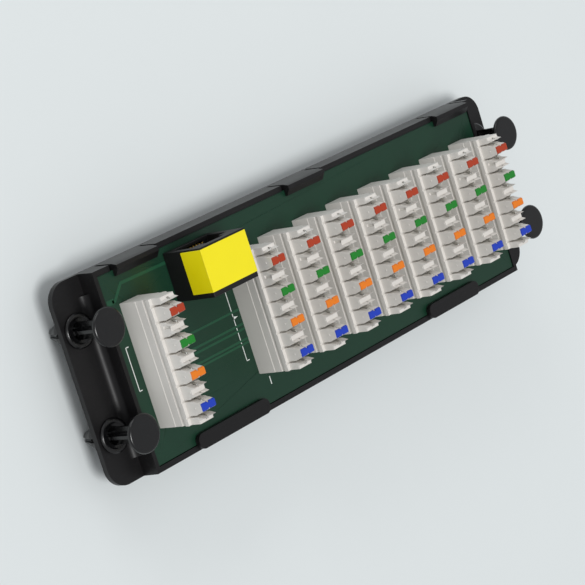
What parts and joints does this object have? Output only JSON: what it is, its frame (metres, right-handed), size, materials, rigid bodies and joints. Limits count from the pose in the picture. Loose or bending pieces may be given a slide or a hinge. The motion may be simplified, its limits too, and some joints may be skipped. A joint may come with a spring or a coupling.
{
  "type": "telephone punch down module",
  "caption": "Wiring module: a circuit board of insulation displacement blocks and one plug jack, snapped in a plastic bracket with push-in fasteners.",
  "frame": {"origin": "on the bracket's mounting face, midway between the four push-in fasteners", "axes": "+X along the module, from the line block to the last location block; +Y across it, towards the jack's open side; +Z out of the mounting face, towards the teeth of the blocks"},
  "size_m": [0.162, 0.0492, 0.029],
  "materials": {
    "bracket_black": "satin",
    "board_green": "satin",
    "block_white": "satin",
    "clip_metal": "satin",
    "jack_black": "satin",
    "contact_gold": "polished",
    "label_yellow": "gloss",
    "grommet_black": "satin",
    "plunger_black": "gloss"
  },
  "bodies": {
    "module": {"bracket": "bracket_black", "circuit_board": "board_green", "line_in_block": "block_white", "location_block_1": "block_white", "location_block_2": "block_white", "location_block_3": "block_white", "location_block_4": "block_white", "location_block_5": "block_white", "location_block_6": "block_white", "location_block_7": "block_white", "location_block_8": "block_white", "line_in_contacts": "clip_metal", "location_contacts_1": "clip_metal", "location_contacts_2": "clip_metal", "location_contacts_3": "clip_metal", "location_contacts_4": "clip_metal", "location_contacts_5": "clip_metal", "location_contacts_6": "clip_metal", "location_contacts_7": "clip_metal", "location_contacts_8": "clip_metal", "jack_housing": "jack_black", "jack_contacts": "contact_gold", "jack_label": "label_yellow", "grommet_1": "grommet_black", "grommet_2": "grommet_black", "grommet_3": "grommet_black", "grommet_4": "grommet_black"},
    "plunger_1": {"plunger_1": "plunger_black"},
    "plunger_2": {"plunger_2": "plunger_black"},
    "plunger_3": {"plunger_3": "plunger_black"},
    "plunger_4": {"plunger_4": "plunger_black"}
  },
  "joints": [
    {"name": "plunger_1_push", "type": "slide", "parent": "module", "child": "plunger_1", "axis": [0, 0, -1], "range_m": [0, 0.0065]},
    {"name": "plunger_2_push", "type": "slide", "parent": "module", "child": "plunger_2", "axis": [0, 0, -1], "range_m": [0, 0.0065]},
    {"name": "plunger_3_push", "type": "slide", "parent": "module", "child": "plunger_3", "axis": [0, 0, -1], "range_m": [0, 0.0065]},
    {"name": "plunger_4_push", "type": "slide", "parent": "module", "child": "plunger_4", "axis": [0, 0, -1], "range_m": [0, 0.0065]}
  ]
}
